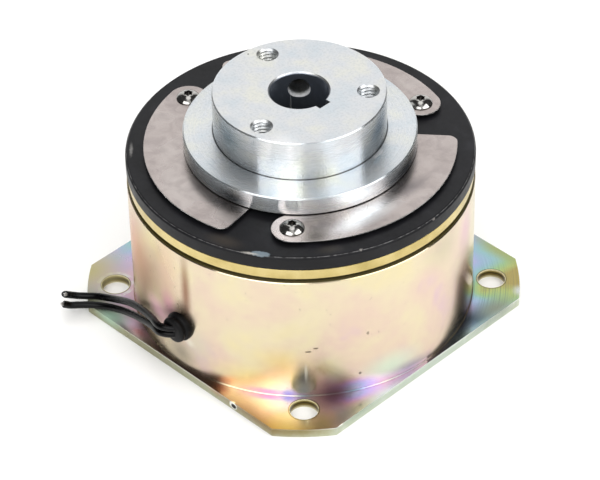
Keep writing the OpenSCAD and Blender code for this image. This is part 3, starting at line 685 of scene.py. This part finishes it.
blackOxide, tree, place = startFinish("blackOxideSteel", {
    "Roughness": 0.42, "IOR": 1.5, "Specular IOR Level": 0.2,
})
height, radius = heightAndRadius(tree, place)
cloud = addNode(tree, "TexNoise", {"Vector": place, "Scale": 1 / mm(9), "Detail": 5})
rub = addNode(tree, "TexNoise", {"Vector": place, "Scale": 1 / mm(1.6), "Detail": 5, "Roughness": 0.7})
tone = addNode(tree, "ValToRGB", {0: cloud}, stops=[(0.3, "#101012"), (0.6, "#17171a"), (0.8, "#232327")])
tone = layMarks(tree, tone, place, discSettings["marksAndPaintedLight"], 0.9)
atRim = addNode(tree, "Math", {0: radius, 1: discSettings["rim"], 2: discSettings["rimHalf"]},
                operation="COMPARE")
nearTop = addNode(tree, "Math", {0: height, 1: discSettings["wornFrom"]}, operation="GREATER_THAN")
worn = addNode(tree, "MapRange", {0: rub, 1: 0.4, 2: 0.62, 4: 0.6})
worn = addNode(tree, "Math", {0: worn, 1: atRim}, operation="MULTIPLY")
worn = addNode(tree, "Math", {0: worn, 1: nearTop}, operation="MULTIPLY")
tone = layTones(tree, tone, ("#8b8a8a", worn))
dull = addNode(tree, "MapRange", {0: rub, 1: 0.3, 2: 0.7, 3: 0.34, 4: 0.5})
feedShader(tree, {"Base Color": tone, "Roughness": dull})
addPiece("armaturePlate", roundedCopy("armature_disc", discSettings["edge"]), blackOxide, "armature",
         ["armature_disc"])

# Leaf springs: cold-rolled stainless, satin, with a painted highlight along the sheared edges
springSettings = {
    "screwAzimuth": -48.5,
    "screwRadius": 44.45,
    "rivetSweep": 88,
    "rivetRadius": 33.6,
    "height": 62.85,
    "edge": 0.12,
    "faceHeight": 63.07,
    "marksAndPaintedLight": [
        # Painted highlight streak, and painted reflections of the hub's flange as darker patches
        {"at": (42, -13, 63.1), "spread": (6, 17, 2), "tone": "#ffffff", "weight": 1, "turn": -6},
        {"at": (42, 7, 63.1), "spread": (5, 10, 2), "tone": "#777274", "weight": 0.7},
        {"at": (37.5, -31, 63.1), "spread": (6, 7, 2), "tone": "#77726c", "weight": 0.7},
    ],
}
springSteel, tree, place = startFinish("coldRolledStainless", {"Metallic": 1, "Roughness": 0.34})
height = heightAndRadius(tree, place)[0]
cloud = addNode(tree, "TexNoise", {"Vector": place, "Scale": 1 / mm(16), "Detail": 2})
grain = addNode(tree, "TexNoise", {"Vector": place, "Scale": 1 / mm(0.5), "Detail": 3})
tone = addNode(tree, "ValToRGB", {0: cloud}, stops=[(0.3, "#b3a9a5"), (0.5, "#bfb5b1"), (0.7, "#c9c0bc")])
pale = addNode(tree, "MapRange", {0: grain, 1: 0.5, 2: 0.75, 4: 0.18})
smoke = addNode(tree, "TexNoise", {"Vector": place, "Scale": 1 / mm(4.5), "Detail": 4, "Distortion": 0.5})
smoke = addNode(tree, "MapRange", {0: smoke, 1: 0.42, 2: 0.64, 4: 0.3})
# Painted highlight: the sheared edges are near white
cutEdgeHighlight = addNode(tree, "Math", {0: height, 1: springSettings["faceHeight"]}, operation="LESS_THAN")
tone = layTones(tree, tone, ("#d9d4d0", pale), ("#8f8584", smoke), ("#f6f5f3", cutEdgeHighlight))
tone = layMarks(tree, tone, place, springSettings["marksAndPaintedLight"], 0.2)
dull = addNode(tree, "MapRange", {0: cloud, 1: 0.3, 2: 0.7, 3: 0.24, 4: 0.29})
feedShader(tree, {"Base Color": tone, "Roughness": dull})

for i in range(3):
    node = f"leaf_spring_{i + 1}"
    spring = addPiece(f"leafSpring{i + 1}", roundedCopy(node, springSettings["edge"]), springSteel, None,
                      [node], 15)
    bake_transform(spring)

# Button-head screws and spacers: bright stainless, with painted shade in the sockets and round the foot of
# each head
screwSettings = {"edge": 0.14, "socketHeight": 64.1, "socketSpread": (2.6, 2.6, 1.6), "foot": 63.2}
brightSteel, tree, place = startFinish("polishedStainless", {"Metallic": 1, "Roughness": 0.12})
height = heightAndRadius(tree, place)[0]
cloud = addNode(tree, "TexNoise", {"Vector": place, "Scale": 1 / mm(1.2), "Detail": 3})
tone = addNode(tree, "ValToRGB", {0: cloud}, stops=[(0.3, "#a9a7a3"), (0.7, "#cfcdc9")])
# Painted shade in the three screw sockets
socketShade = []
for i in range(3):
    turn = math.radians(springSettings["screwAzimuth"] + 120 * i)
    reach = springSettings["screwRadius"]
    socketShade.append({
        "at": (reach * math.cos(turn), reach * math.sin(turn), screwSettings["socketHeight"]),
        "spread": screwSettings["socketSpread"], "tone": "#24221f", "weight": 0.9, "crisp": 1,
    })
tone = layMarks(tree, tone, place, socketShade, 0.3)
# Painted shade: a dark ring round the foot of each head
footShade = addNode(tree, "MapRange", {0: height, 1: screwSettings["foot"] + 0.25, 2: screwSettings["foot"]})
tone = layTones(tree, tone, ("#35322f", footShade))
dull = addNode(tree, "MapRange", {0: cloud, 1: 0.3, 2: 0.7, 3: 0.08, 4: 0.18})
feedShader(tree, {"Base Color": tone, "Roughness": dull})
dress(brightSteel, "spring_spacers", "hub_rivets")
addPiece("buttonHeads", roundedCopy("armature_screws", screwSettings["edge"], 3), brightSteel, "armature",
         ["armature_screws"])

# Hub: turned steel in clear zinc, mottled on its faces and bright on its sides
print("hub")
hubSettings = {
    "edge": 0.15,
    "top": 83.9,
    "flangeTop": 69.5,
    "mattWithin": 27.5,
    "bossFoot": 28.35,
    "springTop": 63.35,
    "linesPerMm": 2.2,
    "bore": 9.6,
    "screwMouth": {"at": (-7.2, 7.1, 77.6), "spread": (6, 6, 6), "crisp": 1},
    "marksAndPaintedLight": [
        {"at": (28.6, 6.5, 69.9), "spread": (1.6, 4.4, 2.2), "tone": "#fdfefe", "crisp": 1, "turn": 14},
        {"at": (30.4, 4.5, 69.5), "spread": (1.2, 4, 0.6), "tone": "#d9e4ea", "crisp": 1, "turn": 20},
        {"at": (-25.9, 2.4, 83.9), "spread": (0.5, 0.5, 0.5), "tone": "#4a4c50", "crisp": 1},
        # Painted reflections: dark patches on the flange's sides, and a white highlight and blue-grey
        # patches on the boss's side
        {"at": (36, 13, 65), "spread": (7, 16, 5), "tone": "#2b3038", "weight": 0.95},
        {"at": (7, -37.4, 65), "spread": (9, 6, 5), "tone": "#3c3e40", "weight": 0.9},
        {"at": (16, -23.4, 81), "spread": (8, 8, 7), "tone": "#ffffff", "weight": 1},
        {"at": (27, 9, 77), "spread": (6, 10, 9), "tone": "#71879c", "weight": 0.85},
        {"at": (-4, -28, 78), "spread": (9, 6, 9), "tone": "#8ea6b4", "weight": 0.7},
    ],
}


# Tones that the hub's two finishes share; it gives back the height, the radius and the tone
def zincTone(tree, place):
    height, radius = heightAndRadius(tree, place)
    cloud = addNode(tree, "TexNoise", {"Vector": place, "Scale": 1 / mm(9), "Detail": 3})
    tone = addNode(tree, "ValToRGB", {0: cloud}, stops=[
        (0.3, "#dae1e6"), (0.5, "#e4e6e8"), (0.7, "#ebebe3"),
    ])
    mottle = addNode(tree, "TexNoise", {"Vector": place, "Scale": 1 / mm(0.8), "Detail": 4})
    mottle = addNode(tree, "MapRange", {0: mottle, 1: 0.45, 2: 0.75, 4: 0.35})
    tone = layTones(tree, tone, ("#b9bfc3", mottle))
    return height, radius, layMarks(tree, tone, place, hubSettings["marksAndPaintedLight"])


# Turned sides and flange: fine lathe lines stretch the reflections across them
turnedZinc, tree, place = startFinish("clearZincTurned", {
    "Metallic": 0.91, "Roughness": 0.26, "Anisotropic": 0.95, "Anisotropic Rotation": 0.25,
})
along = addNode(tree, "Tangent", direction_type="RADIAL", axis="Z")
height, radius, tone = zincTone(tree, place)
rings = addNode(tree, "CombineXYZ", {0: radius, 1: height})
rings = addNode(tree, "TexNoise", {"Vector": rings, "Scale": hubSettings["linesPerMm"], "Detail": 3})
lines = addNode(tree, "MapRange", {0: rings, 1: 0.3, 2: 0.7, 4: 0.2})
# Shadowed corner at the foot of the boss
footShade = addNode(tree, "MapRange", {0: radius, 1: hubSettings["bossFoot"], 2: hubSettings["bossFoot"] + 0.4,
                                    3: 1, 4: 0})
onFlange = addNode(tree, "Math", {0: height, 1: hubSettings["flangeTop"] + 0.1}, operation="LESS_THAN")
footShade = addNode(tree, "Math", {0: footShade, 1: onFlange}, operation="MULTIPLY")
offBore = addNode(tree, "Math", {0: radius, 1: 20}, operation="GREATER_THAN")
footShade = addNode(tree, "Math", {0: footShade, 1: offBore}, operation="MULTIPLY")
# Painted shade along the flange's underside, where it lies on the springs
flangeUnderShade = addNode(tree, "MapRange", {0: height, 1: hubSettings["springTop"] + 0.25,
                                      2: hubSettings["springTop"]})
tone = layTones(tree, tone, ("#a5bdcd", lines), ("#25282b", footShade), ("#141414", flangeUnderShade))
dull = addNode(tree, "MapRange", {0: rings, 1: 0.3, 2: 0.7, 3: 0.24, 4: 0.28})
feedShader(tree, {"Base Color": tone, "Roughness": dull, "Tangent": along})

# Boss face and bores: the same zinc, tumbled matt
mattZinc, tree, place = startFinish("clearZincMatt", {"Metallic": 1, "Roughness": 0.38})
height, radius, tone = zincTone(tree, place)
bore = hubSettings["bore"]
inBore = addNode(tree, "MapRange", {0: radius, 1: bore + 0.25, 2: bore, 4: 0.9})
beyondBore = addNode(tree, "Math", {0: radius, 1: bore + 0.02}, operation="GREATER_THAN")
mouthHighlight = softMark(tree, place, hubSettings["screwMouth"])
mouthHighlight = addNode(tree, "Math", {0: mouthHighlight, 1: beyondBore}, operation="MULTIPLY")
tone = layTones(tree, tone, ("#727b8a", inBore), ("#ffffff", mouthHighlight))
# Painted highlight: the mouth of the set screw's hole is white and not metallic, so it catches the light
# from above
bare = addNode(tree, "Math", {0: inBore, 1: -0.12, 2: 1}, operation="MULTIPLY_ADD")
bare = addNode(tree, "Math", {0: mouthHighlight, 1: -1, 2: bare}, operation="MULTIPLY_ADD")
grain = addNode(tree, "TexNoise", {"Vector": place, "Scale": 1 / mm(0.7), "Detail": 4})
dull = addNode(tree, "MapRange", {0: grain, 1: 0.3, 2: 0.7, 3: 0.3, 4: 0.46})
bump = addNode(tree, "Bump", {"Height": grain, "Strength": 0.12, "Distance": mm(0.06)})
feedShader(tree, {"Base Color": tone, "Metallic": bare, "Roughness": dull, "Normal": bump})

tapSettings = {
    "azimuth": 42.5,
    "circle": 22.225,
    "drill": 2.55,
    "major": 3.1,
    "crest": 2.55,
    "rootHalf": 0.42,
    "crestHalf": 0.06,
    "pitch": 1.27,
    "turns": 9,
    "steps": 32,
    "start": 1.3,
}


# One V-shaped ridge wound round the Z axis, from z = 0 down
def threadRidge():
    shape = bmesh.new()
    pitch, steps, turns = (tapSettings[k] for k in ("pitch", "steps", "turns"))
    root, tip = tapSettings["rootHalf"] * pitch, tapSettings["crestHalf"] * pitch
    major, crest = tapSettings["major"], tapSettings["crest"]
    outline = ((major, root), (crest, tip), (crest, -tip), (major, -root))
    corners = [shape.verts.new(point(r, 0, z)) for r, z in outline]
    sides = [shape.edges.new(pair) for pair in zip(corners, corners[1:])]
    bmesh.ops.spin(
        shape, geom=corners + sides, cent=(0, 0, 0), axis=(0, 0, 1),
        angle=math.tau * turns, steps=steps * turns, dvec=point(0, 0, -pitch / steps),
    )
    return shape


# The drilled holes are opened to the thread's major size, and the ridges stand inside them
blank = bmesh.new()
blank.from_mesh(nodes["armature_hub"].data)
ridges = bmesh.new()
ridgeMesh = bpy.data.meshes.new("ridge")
ridge = threadRidge()
ridge.to_mesh(ridgeMesh)
ridge.free()
widen = tapSettings["major"] / tapSettings["drill"] - 1
threadTop = point(0, 0, hubSettings["top"] - tapSettings["start"])
for i in range(3):
    turn = math.radians(tapSettings["azimuth"] + 120 * i)
    reach = mm(tapSettings["circle"])
    axis = Vector((reach * math.cos(turn), reach * math.sin(turn), 0))
    for corner in blank.verts:
        aside = Vector((corner.co.x - axis.x, corner.co.y - axis.y, 0))
        if mm(2) < aside.length < mm(tapSettings["drill"] + 0.05):
            corner.co += aside * widen
    before = len(ridges.verts)
    ridges.from_mesh(ridgeMesh)
    ridges.verts.ensure_lookup_table()
    bmesh.ops.translate(ridges, vec=axis + threadTop, verts=ridges.verts[before:])
hub = addPiece("turnedHub", roundedCopy(blank, hubSettings["edge"]), turnedZinc, "hub",
               ["armature_hub"])
hub.data.materials.append(mattZinc)
for face in hub.data.polygons:
    onTop = face.center.z > mm(hubSettings["top"] - 0.3) and face.normal.z > 0.95
    onFlange = abs(face.center.z - mm(hubSettings["flangeTop"])) < mm(0.3)
    if onTop or (face.center.xy.length < mm(hubSettings["mattWithin"]) and not onFlange):
        face.material_index = 1
addPiece("tapThreads", ridges, mattZinc, "hub")

# Matt paper floor, with two softboxes beside the camera and a white wall behind the object
print("stage")
floorSettings = {"side": 4, "tone": "#f8f8f7"}
shape = bmesh.new()
bmesh.ops.create_grid(shape, x_segments=1, y_segments=1, size=floorSettings["side"] / 2)
paper = startFinish("mattPaper", {
    "Base Color": floorSettings["tone"], "Roughness": 0.9, "Specular IOR Level": 0,
})[0]
floor = addPiece("floor", shape, paper, None)

lightSettings = {
    "aim": point(0, 0, 40),
    "distance": 1.3,
    "cameraAzimuth": -44.31,
    "boxes": {
        "softboxLeft": {"azimuth": -29, "elevation": 40, "size": (1.06, 0.78), "radiance": 2.8},
        "softboxRight": {"azimuth": 60, "elevation": 40, "size": (1.02, 0.78), "radiance": 2.8},
        "paperLight": {"azimuth": 180, "elevation": 88, "size": (2, 2), "radiance": 1.18, "paperOnly": True},
    },
}
for name, box in lightSettings["boxes"].items():
    data = bpy.data.lights.new(name, "AREA")
    data.shape = "RECTANGLE"
    data.size, data.size_y = box["size"]
    data.energy = box["radiance"] * math.pi * box["size"][0] * box["size"][1]
    light = bpy.data.objects.new(name, data)
    turn = math.radians(lightSettings["cameraAzimuth"] + box["azimuth"])
    rise = math.radians(box["elevation"])
    toLight = Vector((math.cos(turn) * math.cos(rise), math.sin(turn) * math.cos(rise), math.sin(rise)))
    light.matrix_world = (
        Matrix.Translation(lightSettings["aim"] + toLight * lightSettings["distance"])
        @ toLight.to_track_quat("Z", "Y").to_matrix().to_4x4()
    )
    # The overhead light whitens the paper and stays out of the metal's reflections
    light.visible_glossy = not box.get("paperOnly", False)
    scene.collection.objects.link(light)

# Room light: a white wall behind the object, a pale ceiling and dark sides
worldSettings = {
    "sides": 0.05,
    "backdrop": 1.05,
    "backdropEdge": (0.72, 0.93),
    "camera": 0.64,
    "cameraEdge": (-0.76, -0.9),
    "ceiling": 1.4,
    "ceilingEdge": (0.94, 0.985),
}
world = bpy.data.worlds.new("studio")
world.use_nodes = True
scene.world = world
tree = world.node_tree
sky = addNode(tree, "TexCoord")
away = math.radians(lightSettings["cameraAzimuth"] + 180)
flat = addNode(tree, "VectorMath", {0: sky, 1: (1, 1, 0)}, operation="MULTIPLY")
flat = addNode(tree, "VectorMath", {0: flat}, operation="NORMALIZE")
facing = addNode(tree, "VectorMath", {0: flat, 1: (math.cos(away), math.sin(away), 0)},
                 operation="DOT_PRODUCT", give=1)
rise = addNode(tree, "SeparateXYZ", {0: sky}, give=2)
level = None
for value, edge, dark, light in (
    (facing, "backdropEdge", worldSettings["sides"], worldSettings["backdrop"]),
    (facing, "cameraEdge", 0, worldSettings["camera"]),
    (rise, "ceilingEdge", 0, worldSettings["ceiling"]),
):
    low, high = worldSettings[edge]
    glow = addNode(tree, "MapRange", {0: value, 1: low, 2: high, 3: dark, 4: light},
                   interpolation_type="SMOOTHSTEP")
    level = addNode(tree, "Math", {0: level, 1: glow}, operation="MAXIMUM") if level else glow
tree.links.new(level, tree.nodes["Background"].inputs["Strength"])
tree.nodes["Background"].inputs["Color"].default_value = hexColour("#ffffff")
scene.view_settings.view_transform = "Standard"

print("done")
